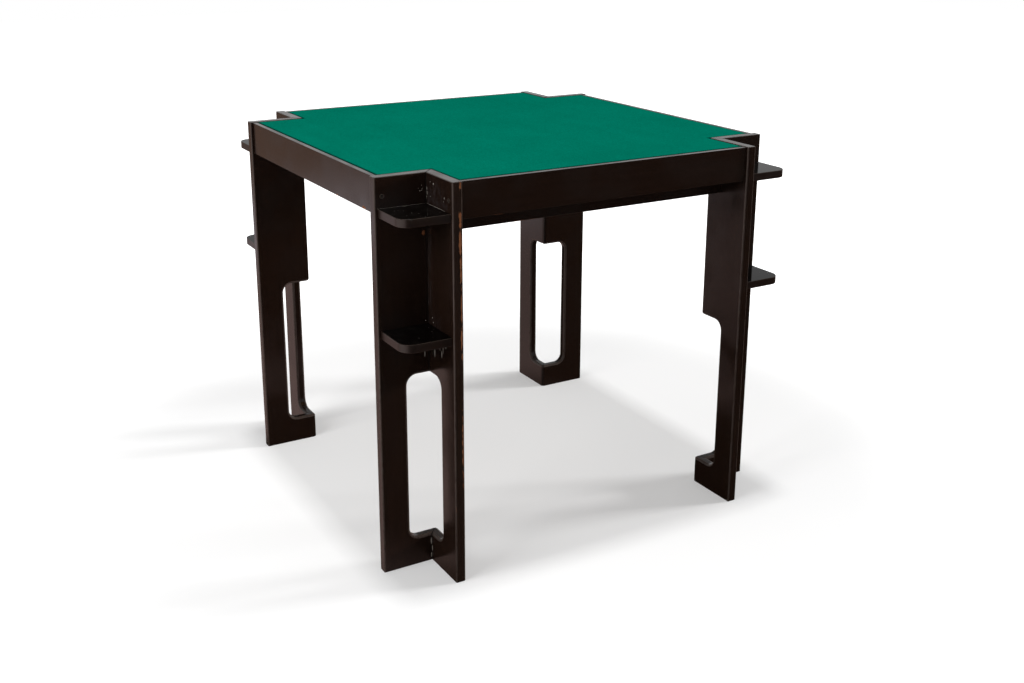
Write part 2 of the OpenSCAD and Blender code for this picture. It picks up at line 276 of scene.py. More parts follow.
@dataclass(frozen=True)
class Lacquer(Finish):
    """Black-brown nitrocellulose lacquer, sprayed over stained beech veneer.

    It gives a deep warm black with a soft mirror in it. The wood's pores still print through, hands have
    rubbed it a little duller in places, and polish has dried to pale smears in the notches.
    """

    name: str
    grain: Grain
    deep: str = "#160c08"
    lit: str = "#1d110b"
    gloss: float = 0.17
    dull: float = 0.27
    chips: tuple[RaggedMark, ...] = ()
    smears: tuple[RaggedMark, ...] = ()
    dust: float = 0.0
    shine: float = 0.5
    mitred: bool = False

    def shader(self, node: Adder) -> Socket:
        """Builds the coat, then what lies on it or has come off it, and the relief of the pores."""
        lines = self.grain.lines
        figure = node("TexNoise", placed(node, lines(3.5 * MM, 140 * MM)), 1.0, 4.0, 0.6)
        pores = node("TexNoise", placed(node, lines(0.9 * MM, 26 * MM)), 1.0)
        haze = node("TexNoise", placed(node, 16.0), 1.0, 3.0)
        peel = node("TexNoise", placed(node, 260.0), 1.0, 1.0)
        tone = node("MapRange", figure, 0.3, 0.72)
        faint = node("Math MULTIPLY", figure, 0.1)
        rubbed = node("Math MULTIPLY_ADD", haze, 0.9, faint)
        paint = (node("Mix RGBA", tone, self.deep, self.lit),
                 node("MapRange", rubbed, 0.38, 0.62, self.gloss, self.dull, **SMOOTH))
        if self.dust:
            paint = self.dusted(node, paint)
        for mark in self.smears:
            place = placed(node, lines(3.5 * MM, 16 * MM), mark.centre)
            pale = node("MapRange", node("TexNoise", place, 1.0, 5.0, 0.7), 0.47, 0.7, 0.0, 0.16)
            amount = node("Math MULTIPLY", mark.mask(node), pale)
            paint = (node("Mix RGBA", amount, paint[0], "#807b80"), paint[1])
        for mark in self.chips:
            wood = node("Mix RGBA", pores, "#4c2611", "#94582c")
            paint = covered(node, mark.mask(node), paint, wood, 0.62)
        if self.mitred:
            paint = with_joint_dirt(node, paint)
        height = node("Mix", 0.4, node("MapRange", pores, 0.36, 0.5), peel)
        bump = node("Bump", {"Strength": 0.02, "Distance": 0.05 * MM, "Height": height})
        return node("BsdfPrincipled", {"Base Color": paint[0], "Roughness": paint[1], "Normal": bump,
                                       "IOR": 1.5, "Specular IOR Level": self.shine})

    def dusted(self, node: Adder, paint: Paint) -> Paint:
        """Lays fine pale specks and a thin film of dust on faces that look up."""
        facing = node("SeparateXYZ", node("TexCoord", out="Normal"), out="Z")
        level = node("MapRange", facing, 0.6, 0.95, 0.0, self.dust)
        cells = node("TexVoronoi", placed(node, 1 / (7 * MM)), 1.0)
        few = node("Math GREATER_THAN", cells.node.outputs["Color"], 0.72)
        dots = node("Math MULTIPLY", node("MapRange", cells, 0.13, 0.07), few)
        cloud = node("TexNoise", placed(node, 45.0), 1.0, 5.0, 0.7)
        film = node("MapRange", cloud, 0.5, 0.75, 0.0, 0.03)
        amount = node("Math MULTIPLY", node("Math MAXIMUM", dots, film), level)
        return covered(node, amount, paint, "#8c8782", 0.7)


@dataclass(frozen=True)
class WornArris(Finish):
    """The same lacquer where it turns over an arris: thinner, polished by hands, rubbed through in spots."""

    name: str
    grain: Grain
    bare_from: float = 0.64
    deep: str = "#17110e"
    thin: str = "#382b22"
    mitred: bool = False

    def shader(self, node: Adder) -> Socket:
        """Builds the thin coat with its bare spots."""
        rub = node("TexNoise", placed(node, self.grain.lines(2.5 * MM, 30 * MM)), 1.0, 4.0, 0.6)
        where = node("TexNoise", placed(node, 9.0, (3.1, 1.7, 0.4)), 1.0)
        spots = node("Mix", 0.4, rub, where)
        coat = node("Mix RGBA", rub, self.deep, self.thin)
        bare = node("MapRange", spots, self.bare_from - 0.03, self.bare_from + 0.01)
        paint = (node("Mix RGBA", bare, coat, "#7a4827"),
                 node("MapRange", spots, 0.4, self.bare_from, 0.22, 0.5))
        if self.mitred:
            paint = with_joint_dirt(node, paint)
        return node("BsdfPrincipled", {"Base Color": paint[0], "Roughness": paint[1], "IOR": 1.5})


@dataclass(frozen=True)
class Baize(Finish):
    """Green woollen baize with a short milled nap: even in colour, mottled up close, with a faint sheen.

    Its colour is darkened where it turns down over the panel's edge and in a band along its outline: painted
    shade of the gap round the panel.
    """

    reach: float
    arm: float
    name: str = "wool_baize"
    dark: str = "#005e4c"
    light: str = "#017762"
    # edge is the colour of the painted shade of the gap round the panel, on the skirt and a band along the
    # outline
    edge: str = "#02342b"
    painted_shade_band: float = 5 * MM
    fibre: float = 2.6 * MM  # coarser than the real 0.3 mm, so that it shows

    def shader(self, node: Adder) -> Socket:
        """Builds the mottled nap and the painted shade along the edge."""
        nap = node("TexNoise", placed(node, 1 / self.fibre), 1.0, 4.0, 0.7)
        clouds = node("TexNoise", placed(node, 7.0), 1.0, 3.0, 0.6)
        strokes = node("TexNoise", placed(node, (30.0, 6.0, 30.0)), 1.0, 3.0)
        tone = node("Mix", 0.75, node("Mix", 0.35, clouds, strokes), nap)
        clean = node("Mix RGBA", node("MapRange", tone, 0.36, 0.64), self.dark, self.light)
        # Painted shade of the gap round the panel: the turned-down skirt and a band along the outline go
        # dark.
        facing = node("SeparateXYZ", node("TexCoord", out="Normal"), out="Z")
        turned = node("MapRange", facing, 0.96, 0.7)
        painted_gap_shade = node("Math MAXIMUM", turned, self.painted_edge_shade(node))
        bump = node("Bump", {"Strength": 0.5, "Distance": 0.25 * MM, "Height": nap})
        return node("BsdfPrincipled", {"Base Color": node("Mix RGBA", painted_gap_shade, clean, self.edge),
                                       "Roughness": 0.95, "Normal": bump, "Specular IOR Level": 0.0,
                                       "Sheen Weight": 0.05, "Sheen Roughness": 0.6, "Sheen Tint": "#0f7a64"})

    def painted_edge_shade(self, node: Adder) -> Socket:
        """Builds the mask of the painted shade band along the cross-shaped outline: 1 there, 0 further in."""
        away = node("VectorMath ABSOLUTE", node("TexCoord", out="Object"))
        axes = node("SeparateXYZ", away).node.outputs
        inside = []
        for limits in ((self.reach, self.arm), (self.arm, self.reach)):
            gaps = [node("Math SUBTRACT", limit, axis) for limit, axis in zip(limits, axes)]
            inside.append(node("Math MINIMUM", *gaps))
        depth = node("Math MAXIMUM", *inside)
        return node("MapRange", depth, self.painted_shade_band, 0.3 * self.painted_shade_band)


@dataclass(frozen=True)
class PlanedWood(Finish):
    """Planed solid wood with growth rings cut along the board and fine darker pores."""

    name: str
    grain: Grain
    early: str
    late: str
    rough: float = 0.55
    ring: float = 6 * MM

    def shader(self, node: Adder) -> Socket:
        """Builds the rings and the open pores."""
        place = placed(node, self.grain.lines(self.ring, 30 * self.ring))
        rings = node("TexNoise", {"Vector": place, "Scale": 1.0, "Detail": 3.0, "Roughness": 0.55,
                                  "Distortion": 0.6})
        pores = node("TexNoise", placed(node, self.grain.lines(0.8 * MM, 14 * MM)), 1.0)
        tone = node("MapRange", rings, 0.3, 0.7)
        solid = node("Mix RGBA", tone, self.early, self.late)
        open_pore = node("MapRange", pores, 0.42, 0.3, 0.0, 0.45)
        colour = node("Mix RGBA", open_pore, solid, "#3d2717")
        bump = node("Bump", {"Strength": 0.35, "Distance": 0.08 * MM, "Height": pores})
        return node("BsdfPrincipled", {"Base Color": colour, "Roughness": self.rough, "Normal": bump,
                                       "IOR": 1.5})


@dataclass(frozen=True)
class Plywood(Finish):
    """Birch plywood: pale rotary-cut faces, and on the edges dark and light plies in turn."""

    name: str
    face: str = "#b3926a"
    vein: str = "#96744d"
    ply: float = 1.4 * MM

    def shader(self, node: Adder) -> Socket:
        """Builds the faces' figure and the plies of the edges."""
        figure = node("TexNoise", {"Vector": placed(node, Grain.Y.lines(14 * MM, 260 * MM)), "Scale": 1.0,
                                   "Detail": 4.0, "Roughness": 0.6, "Distortion": 0.8})
        pores = node("TexNoise", placed(node, Grain.Y.lines(0.9 * MM, 16 * MM)), 1.0)
        tone = node("MapRange", figure, 0.35, 0.66)
        sheet = node("Mix RGBA", tone, self.face, self.vein)
        coords = node("TexCoord").node.outputs
        height = node("SeparateXYZ", coords["Object"], out="Z")
        wave = node("Math SINE", node("Math MULTIPLY", height, math.pi / self.ply))
        plies = node("MapRange", wave, -0.3, 0.3)
        edge = node("Mix RGBA", plies, self.vein, "#6b4a2c")
        facing = node("Math ABSOLUTE", node("SeparateXYZ", coords["Normal"], out="Z"))
        colour = node("Mix RGBA", node("MapRange", facing, 0.6, 0.8), edge, sheet)
        bump = node("Bump", {"Strength": 0.3, "Distance": 0.08 * MM, "Height": pores})
        return node("BsdfPrincipled", {"Base Color": colour, "Roughness": 0.6, "Normal": bump, "IOR": 1.5})


@dataclass(frozen=True)
class Mottled(Finish):
    """A small part's finish: two shades of one colour in a fine mottle."""

    name: str
    per_metre: float
    dark: str
    light: str
    rough: float
    roughest: float | None = None  # where the mottle is light, if that is duller
    detail: float = 3.0
    ior: float = 1.5
    metallic: float = 0.0

    def shader(self, node: Adder) -> Socket:
        """Builds the mottle."""
        mottle = node("TexNoise", placed(node, self.per_metre), 1.0, self.detail)
        rough = self.rough
        if self.roughest is not None:
            rough = node("MapRange", mottle, 0.3, 0.7, self.rough, self.roughest)
        return node("BsdfPrincipled", {"Base Color": node("Mix RGBA", mottle, self.dark, self.light),
                                       "Roughness": rough, "IOR": self.ior, "Metallic": self.metallic})


# Zinc-plated screw steel: a soft grey metal, dulled and darkened unevenly.
SCREW_STEEL = Mottled("dull_zinc_steel", 600.0, "#4a443c", "#837b6f", 0.32, 0.5, metallic=1.0)
# Lacquer and old dirt, which fill the flat of a screw's head, and painted shade that stands for the dark
# reflection there, so that only its rim shines.
SCREW_DIRT_AND_SHADE = Mottled("dirt_and_painted_shade_in_screw_head", 900.0, "#0c0806", "#2a211b", 0.5)
# White wood glue, squeezed out of a joint and dried to dusty, half-clear beads.
DRIED_GLUE = Mottled("dried_wood_glue", 500.0, "#6f6962", "#a8a39b", 0.4, detail=2.0, ior=1.47)


# ---- Shapes ----


def merged_copy(node: str) -> bmesh.types.BMesh:
    """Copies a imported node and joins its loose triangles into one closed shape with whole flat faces."""
    shape = bmesh.new()
    shape.from_mesh(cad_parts[node].data)
    bmesh.ops.remove_doubles(shape, verts=shape.verts, dist=WELD)
    bmesh.ops.dissolve_limit(shape, angle_limit=math.radians(1), verts=shape.verts, edges=shape.edges)
    return shape


@dataclass(frozen=True)
class Arris:
    """How sanding and lacquer round the sharp arrises of a board."""

    radius: float = 1.2 * MM
    segments: int = 3
    at_joints: float = 0.22  # share of the radius where two boards meet flush
    at_ends: float = 1.0  # share of the radius round a board's top and foot
    hole_face: float = 20 * MM * MM  # smaller faces belong to holes, whose rims stay sharp
    strip: float = 0.8 * MM  # narrower faces are facets of an arris that is round already
    sharpest: float = math.radians(30)  # edges with a smaller turn than this are left alone

    def ease(self, piece: Piece, shape: bmesh.types.BMesh, joint: JointTest | None = None) -> None:
        """Rounds the arrises of a shape and gives the result to a piece.

        Args:
            piece: An object with two materials: the board's, and its arrises'.
            shape: The sharp shape, which is used up.
            joint: Says whether a point lies where the board meets another one.
        """
        weight = shape.edges.layers.float.new("bevel_weight_edge")
        heights = [vertex.co.z for vertex in shape.verts]
        for face in shape.faces:
            face.smooth = True
            longest = max(edge.calc_length() for edge in face.edges)
            face.material_index = int(face.calc_area() < self.strip * longest)
        for edge in shape.edges:
            if len(edge.link_faces) != 2 or edge.calc_face_angle(0.0) < self.sharpest:
                continue
            if edge.is_convex and min(face.calc_area() for face in edge.link_faces) > self.hole_face:
                tips = [vertex.co for vertex in edge.verts]
                share = self.at_joints if joint and all(joint(tip) for tip in tips) else 1.0
                for limit in (min(heights), max(heights)):
                    if all(abs(tip.z - limit) < TOUCH for tip in tips):
                        share = min(share, self.at_ends)
                edge[weight] = share
            else:
                edge.smooth = False
        shape.to_mesh(piece.data)
        shape.free()
        if "custom_normal" in piece.data.attributes:
            piece.data.attributes.remove(piece.data.attributes["custom_normal"])
        having(piece.modifiers.new("arris", "BEVEL"), limit_method="WEIGHT", width=self.radius,
               segments=self.segments, material=1, use_clamp_overlap=False, loop_slide=False)
        shade_flats_flat(piece)


def eased_board(node: str, body: str, slot: str, finish: Finish, edge: Finish, arris: Arris = Arris(),
                joint: JointTest | None = None) -> None:
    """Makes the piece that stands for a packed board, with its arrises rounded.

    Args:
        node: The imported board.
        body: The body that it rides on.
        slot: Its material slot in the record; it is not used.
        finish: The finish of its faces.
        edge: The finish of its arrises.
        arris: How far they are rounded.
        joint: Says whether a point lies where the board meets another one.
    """
    piece = link_object(f"{node}_finished", bpy.data.meshes.new(node), finish.material(), edge.material())
    arris.ease(piece, merged_copy(node), joint)
    hand_in(piece, body, slot, [node])


@dataclass(frozen=True)
class Timber:
    """What plain boards are cut from: their slot in the record, the wood and its two colours."""

    slot: str
    wood: str
    early: str
    late: str

    def board(self, node: str, body: str, arris: Arris, joint: JointTest | None = None) -> None:
        """Makes one packed board with the grain along it; the arguments are those of eased_board."""
        grain = Grain.of(node)
        finish = PlanedWood(f"{self.wood}_{grain.name.lower()}", grain, self.early, self.late)
        eased_board(node, body, self.slot, finish, finish, arris, joint)


STAINED_PINE = Timber("frame_wood", "stained_pine", "#3d2a1c", "#22160f")
WAXED_BEECH = Timber("runner_wood", "waxed_beech", "#8a6242", "#664329")
PLANED_BEECH = Timber("drawer_wood", "planed_beech", "#a57d55", "#82593a")


class ShapeTree:
    """A Geometry Nodes tree with named inputs, which is run once and leaves plain mesh."""

    SOCKETS = {float: "NodeSocketFloat", int: "NodeSocketInt", Material: "NodeSocketMaterial"}

    def __init__(self, name: str, finish: Finish, **sizes: float | int) -> None:
        """Makes the tree's inputs.

        Args:
            name: The tree's name.
            finish: The finish of what it makes.
            sizes: A value for each named input, in metres where it is a length.
        """
        self.tree = bpy.data.node_groups.new(name, "GeometryNodeTree")
        self.values = {**sizes, "finish": finish.material()}
        face = self.tree.interface
        face.new_socket("Geometry", in_out="OUTPUT", socket_type="NodeSocketGeometry")
        face.new_socket("start", in_out="INPUT", socket_type="NodeSocketGeometry")
        for key, value in self.values.items():
            face.new_socket(key, in_out="INPUT", socket_type=self.SOCKETS[type(value)])
        self.given = self.add("NodeGroupInput").node.outputs

    def add(self, kind: str, *inputs: Any, **settings: Any) -> Socket:
        """Adds a node as the function add does, but it is GeometryNode that a kind needn't say."""
        shared = kind.startswith(("Math", "Vector", "Separate", "Combine")) and "Mesh" not in kind
        return add(self.tree, kind if shared or "Node" in kind else f"GeometryNode{kind}", *inputs,
                   **settings)

    def reads(self, attribute: str) -> Socket:
        """The value of a named vector attribute of the starting points."""
        return self.add("InputNamedAttribute FLOAT_VECTOR", attribute)

    def run(self, name: str, shape: Socket, starts: Mesh, **places: Socket) -> Piece:
        """Puts a copy of the shape on each starting point, ends the tree, runs it and keeps the mesh.

        Args:
            name: The new piece's name.
            shape: The shape to repeat.
            starts: The starting points with their attributes.
            places: Each copy's Rotation, and its Scale if they differ.

        Returns:
            The piece, as plain mesh.
        """
        copies = self.add("InstanceOnPoints", {"Points": self.given["start"], "Instance": shape, **places})
        real = self.add("RealizeInstances", copies)
        self.add("NodeGroupOutput", self.add("SetMaterial", real, None, self.given["finish"]))
        piece = link_object(name, starts)
        nodes = having(piece.modifiers.new("shape", "NODES"), node_group=self.tree)
        for item in self.tree.interface.items_tree:
            if item.in_out == "INPUT" and item.name in self.values:
                nodes[item.identifier] = self.values[item.name]
        bake_modifiers(piece)
        piece.data.materials.clear()
        piece.data.materials.append(self.values["finish"])
        for face in piece.data.polygons:
            face.material_index = 0
        return piece


def starting_points(name: str, places: Iterable[Point], **attributes: Sequence[Point]) -> Mesh:
    """Makes a mesh of loose points for a shape tree.

    Args:
        name: The mesh's name.
        places: The points.
        attributes: One vector for each point, by attribute name.

    Returns:
        The mesh.
    """
    mesh = bpy.data.meshes.new(name)
    mesh.from_pydata([tuple(place) for place in places], [], [])
    for key, values in attributes.items():
        flat = [number for value in values for number in value]
        mesh.attributes.new(key, "FLOAT_VECTOR", "POINT").data.foreach_set("vector", flat)
    return mesh


def dress_packed(node: str, finish: Finish) -> None:
    """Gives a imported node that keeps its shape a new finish."""
    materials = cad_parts[node].data.materials
    materials.clear()
    materials.append(finish.material())


# ---- Legs ----


@dataclass(frozen=True)
class Legs:
    """Four legs of two upright boards each, mitred together and cut out along the mitre."""

    arris: Arris = Arris(radius=4.8 * MM, segments=6, at_joints=0.2, at_ends=0.25)
    streak: tuple[RaggedMark, ...] = tuple(
        RaggedMark((x, -424.5, z), (half_x, 6, half_z), ragged, (tooth, tooth, tooth_z))
        for x, z, half_x, half_z, ragged, tooth, tooth_z in (
            (-313.2, 640, 3.0, 21, 2.2, 1.3, 8), (-312.6, 594, 1.9, 23, 2.8, 1.3, 9),
            (-311.6, 528, 1.1, 36, 2.8, 1.2, 10), (-311.8, 470, 1.8, 23, 2.6, 1.3, 9),
            (-311.2, 436, 1.2, 6, 2.4, 1.4, 7), (-312.4, 739, 1.8, 9, 2.4, 1.2, 5),
            (-312.8, 685, 3.0, 8, 2.6, 1.3, 5), (-312.8, 671, 2.6, 6, 2.6, 1.3, 5),
            (-311, 270, 1.3, 58, 4.2, 1.5, 9)))
    chip: tuple[RaggedMark, ...] = (RaggedMark((-334, -327, 638), (2.8, 2, 4.6)),)
    smears: tuple[RaggedMark, ...] = (
        RaggedMark((-327, -335, 590), (3, 14, 190), 1.2, (6, 6, 30), 0.8),
        RaggedMark((-327, -366, 708), (3, 52, 40), 1.6, (9, 9, 12), 0.8),
        RaggedMark((-327, -356, 462), (3, 40, 46), 1.6, (9, 9, 14), 0.8))

    def build(self) -> None:
        """Makes the eight boards, two of them with their damage and with lighter lacquer colours that are
        painted light.
        """
        whole = Lacquer("lacquered_beech_upright", Grain.Z, mitred=True)
        # The front left leg's two boards have lighter lacquer colours than the others, which is painted
        # light, as well as their chips and smears.
        damaged_and_painted_lighter = {
            "leg_front_left_wing_y": Lacquer("lacquered_beech_chipped_end", Grain.Z, "#1b110d", "#241710",
                                             chips=self.streak, smears=self.smears, mitred=True),
            "leg_front_left_wing_x": Lacquer("lacquered_beech_chipped_face", Grain.Z, "#190f0b", "#21140e",
                                             chips=self.chip, mitred=True)}
        # The legs' arrises are lighter than the other arrises: partly wear, partly a painted highlight along
        # the rounded arrises.
        edge = WornArris("worn_lacquer_upright_painted_highlight", Grain.Z, 0.7, "#241c19", "#463a34", mitred=True)
        for node in [f"leg_{corner}_wing_{wing}" for corner in CORNERS for wing in "xy"]:
            eased_board(node, "frame", "lacquered_wood", damaged_and_painted_lighter.get(node, whole), edge, self.arris,
                        self.on_mitre)

    @staticmethod
    def on_mitre(point: Vector) -> bool:
        """Whether a point lies on the mitre of its leg."""
        low, high = CAD_BOX
        from_x, from_y = (min(point[i] - low[i], high[i] - point[i]) for i in (0, 1))
        return abs(from_x - from_y) < TOUCH


# ---- Corner shelves ----


@dataclass(frozen=True)
class CornerShelves:
    """Eight small shelves in the notches, each a square board with one round corner."""

    corner_radius: float = 25 * MM
    arris: Arris = Arris(radius=0.9 * MM)
    # Its colours are darker than the other lacquer's: painted shade on the shelves.
    lacquer: Lacquer = Lacquer("lacquered_beech_shelf", Grain.X, deep="#070504", lit="#0b0807", gloss=0.06,
                               dull=0.12, dust=0.7, shine=0.04)
    edge_lacquer: Lacquer = Lacquer("lacquered_beech_shelf_edge", Grain.X, gloss=0.32, dull=0.4)

    def build(self) -> None:
        """Makes the shelves on their places and eases their free edges."""
        nodes = [f"shelf_{level}_{corner}" for level in ("upper", "lower") for corner in CORNERS]
        boxes = [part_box(node) for node in nodes]
        starts = starting_points(
            "shelf_places", [((low.x + high.x) / 2, (low.y + high.y) / 2, high.z) for low, high in boxes],
            turn=[(0.0, 0.0, i % len(CORNERS) * math.pi / 2) for i in range(len(nodes))])
        low, high = boxes[0]
        tree = ShapeTree("corner_shelf", self.lacquer, width=high.x - low.x, thickness=high.z - low.z,
                         corner_radius=self.corner_radius)
        piece = tree.run("corner_shelves", self.board(tree), starts, Rotation=tree.reads("turn"))
        piece.data.materials.append(WornArris("worn_lacquer_shelf", Grain.X, 0.74).material())
        sharp = bmesh.new()
        sharp.from_mesh(piece.data)
        self.arris.ease(piece, sharp, self.on_wing)
        piece.data.materials.append(self.edge_lacquer.material())
        for face in piece.data.polygons:
            if face.material_index == 0 and abs(face.normal.z) < 0.5:
                face.material_index = 2
        hand_in(piece, "frame", "lacquered_wood", nodes)

    @staticmethod
    def board(tree: ShapeTree) -> Socket:
        """One closed shelf about its own middle, its top at zero, its round corner at low X and low Y."""
        width, thickness, corner_radius = list(tree.given)[1:4]
        square = tree.add("CurvePrimitiveQuadrilateral", width, width)
        axes = tree.add("SeparateXYZ", tree.add("InputPosition")).node.outputs
        free = [tree.add("Math LESS_THAN", axis, 0.0) for axis in axes[:2]]
        radius = tree.add("Math MULTIPLY", tree.add("Math MULTIPLY", *free), corner_radius)
        rounded = tree.add("FilletCurve", {"Curve": square, "Count": 12, "Radius": radius,
                                           "Limit Radius": True}, mode="POLY")
        drop = tree.add("CombineXYZ", None, None, tree.add("Math MULTIPLY", thickness, -1.0))
        bottom = tree.add("Transform", {"Geometry": tree.add("FillCurve", rounded, mode="NGONS"),
                                        "Translation": drop})
        walls = tree.add("ExtrudeMesh", {"Mesh": bottom, "Offset": (0.0, 0.0, 1.0),
                                         "Offset Scale": thickness, "Individual": False}, mode="FACES")
        closed = tree.add("JoinGeometry", [walls, tree.add("FlipFaces", bottom)])
        return tree.add("MergeByDistance", {"Geometry": closed, "Distance": WELD})

    @staticmethod
    def on_wing(point: Vector) -> bool:
        """Whether a point of a shelf touches a leg board."""
        _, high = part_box("shelf_upper_front_left")
        return any(abs(abs(point[i]) - abs(high[i])) < TOUCH for i in (0, 1))


# ---- Aprons and the frame inside ----


@dataclass(frozen=True)
class Aprons:
    """Four rails with a rebated upper edge, which leaves a narrow lip round the top panel."""

    arris: Arris = Arris(radius=1.2 * MM)
    knocks: tuple[RaggedMark, ...] = (
        RaggedMark((-420, -271.5, 681.5), (3, 8.5, 2.6), 2.6, (2, 4, 2)),
        RaggedMark((-420, -150, 679.5), (3, 5, 1.6), 2.6, (2, 3, 2)))

    def build(self) -> None:
        """Makes the four aprons, the left one with its knocks."""
        for node in ("apron_front", "apron_back", "apron_left", "apron_right"):
            grain = Grain.of(node)
            way = grain.name.lower()
            lacquer = Lacquer(f"lacquered_beech_rail_{way}", grain)
            if node == "apron_left":
                lacquer = Lacquer("lacquered_beech_apron_left", grain, chips=self.knocks)
            edge = WornArris(f"worn_lacquer_rail_{way}", grain)
            eased_board(node, "frame", "lacquered_wood", lacquer, edge, self.arris, grain.ends_of(node))


@dataclass(frozen=True)
class UnderFrame:
    """Two bearers under the panel, a rail across the middle, two drawer runners and the stop dowels."""

    arris: Arris = Arris(radius=0.7 * MM, segments=2)

    def build(self) -> None:
        """Makes the wooden parts under the panel."""
        for timber, nodes in ((STAINED_PINE, ("bearer_left", "bearer_right", "cross_rail")),
                              (WAXED_BEECH, ("runner_left", "runner_right"))):
            for node in nodes:
                timber.board(node, "frame", self.arris, Grain.of(node).ends_of(node))
        dress_packed("stop_dowels", PlanedWood("turned_birch", Grain.Z, "#c9a878", "#a98555", 0.5, 1.5 * MM))


# ---- Screws ----


@dataclass(frozen=True)
class WoodScrews:
    """Countersunk wood screws with a cross recess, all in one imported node."""

    node: str
    sides: int = 32
    tip: float = 4 * MM
    recess_width: float = 0.9 * MM
    recess_depth: float = 1.2 * MM

    def build(self) -> None:
        """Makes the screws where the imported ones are."""
        heads, ways, lengths, radii = zip(*[self.measure(island) for island in self.islands()])
        tree = ShapeTree(self.node, SCREW_STEEL, head_radius=max(radii), length=lengths[0], tip=self.tip,
                         recess_width=self.recess_width, recess_depth=self.recess_depth, sides=self.sides)
        turn = tree.add("FunctionNodeAlignRotationToVector", {"Vector": tree.reads("way")}, axis="Z")
        piece = tree.run(f"{self.node}_finished", self.screw(tree),
                         starting_points(f"{self.node}_places", heads, way=ways), Rotation=turn)
        piece.data.materials.append(SCREW_DIRT_AND_SHADE.material())
        # The flat faces of the heads take the dark finish: dirt and lacquer, and painted shade.
        for face in piece.data.polygons:
            face.material_index = int(max(abs(part) for part in face.normal) > 0.999)
        piece.data.set_sharp_from_angle(angle=math.radians(30))
        hand_in(piece, "frame", "screw_steel", [self.node])

    def islands(self) -> list[list[Vector]]:
        """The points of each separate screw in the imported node."""
        shape = merged_copy(self.node)
        left, groups = set(shape.verts), []
        while left:
            edge, group = [left.pop()], []
            while edge:
                vertex = edge.pop()
                group.append(vertex.co.copy())
                near = {e.other_vert(vertex) for e in vertex.link_edges} & left
                left -= near
                edge.extend(near)
            groups.append(group)
        shape.free()
        return groups

    @staticmethod
    def measure(points: Sequence[Vector]) -> tuple[Vector, Vector, float, float]:
        """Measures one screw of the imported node.

        Args:
            points: The screw's points.

        Returns:
            The head's middle, a unit vector from head to tip, the length, and the head's radius.
        """
        low, high = (Vector([pick(p[i] for p in points) for i in range(3)]) for pick in (min, max))
        size = [high[i] - low[i] for i in range(3)]
        axis = size.index(max(size))
        head, way = (low + high) / 2, Vector((0.0, 0.0, 0.0))
        rim = max(points, key=lambda p: abs(p[axis - 1] - head[axis - 1]))
        head[axis], way[axis] = (low[axis], 1.0) if rim[axis] < head[axis] else (high[axis], -1.0)
        return head, way, size[axis], sorted(size)[1] / 2

    @staticmethod
    def screw(tree: ShapeTree) -> Socket:
        """One screw along +Z from its head, turned from a profile, with the recess cut out of it."""
        radius, length, tip, width, deep, sides = list(tree.given)[1:7]
        rim, half, flat, arm = [tree.add("Math MULTIPLY", radius, share) for share in (0.2, 0.5, 0.72, 1.2)]
        shank = tree.add("Math SUBTRACT", length, tip)
        profile = ((0.0, flat), (rim, radius), (half, half), (shank, half), (length, 0.2 * MM))
        index = tree.add("InputIndex")
        fields = []
        for values in zip(*profile):
            pick = tree.add("IndexSwitch FLOAT", index)
            for _ in values[2:]:
                pick.node.index_switch_items.new()
            feed(tree.tree, pick.node, dict(enumerate(values, 1)))
            fields.append(pick)
        line = tree.add("MeshLine", {"Count": len(profile)})
        point = tree.add("CombineXYZ", None, None, fields[0])
        axis = tree.add("MeshToCurve", tree.add("SetPosition", {"Geometry": line, "Position": point}))
        ring = tree.add("CurvePrimitiveCircle", {"Resolution": sides, "Radius": 1.0})
        body = tree.add("CurveToMesh", {"Curve": axis, "Profile Curve": ring, "Scale": fields[1],
                                        "Fill Caps": True})
        depth = tree.add("Math MULTIPLY", deep, 2.0)
        slots = [tree.add("MeshCube", tree.add("CombineXYZ", *plan, depth))
                 for plan in ((arm, width), (width, arm))]
        return tree.add("MeshBoolean DIFFERENCE", body, slots, solver="EXACT")


# ---- Drawers ----


@dataclass(frozen=True)
class Drawer:
    """A shallow drawer that hangs under the top on two rails."""

    name: str
    front_arris: Arris = Arris(radius=1.2 * MM)
    box_arris: Arris = Arris(radius=0.6 * MM, segments=2)
    bottom_arris: Arris = Arris(radius=0.3 * MM, segments=1)

    def build(self) -> None:
        """Makes the front and the box behind it."""
        eased_board(f"{self.name}_front", self.name, "lacquered_wood",
                    Lacquer("lacquered_beech_rail_x", Grain.X), WornArris("worn_lacquer_rail_x", Grain.X),
                    self.front_arris)
        for timber, parts in ((PLANED_BEECH, ("left_side", "right_side", "back")),
                              (WAXED_BEECH, ("left_rail", "right_rail"))):
            for part in parts:
                timber.board(f"{self.name}_{part}", self.name, self.box_arris)
        bottom = Plywood("birch_plywood_drawer", face="#ad8c62", vein="#8c6c45", ply=1.0 * MM)
        eased_board(f"{self.name}_bottom", self.name, "drawer_plywood", bottom, bottom, self.bottom_arris)


# ---- Top panel ----


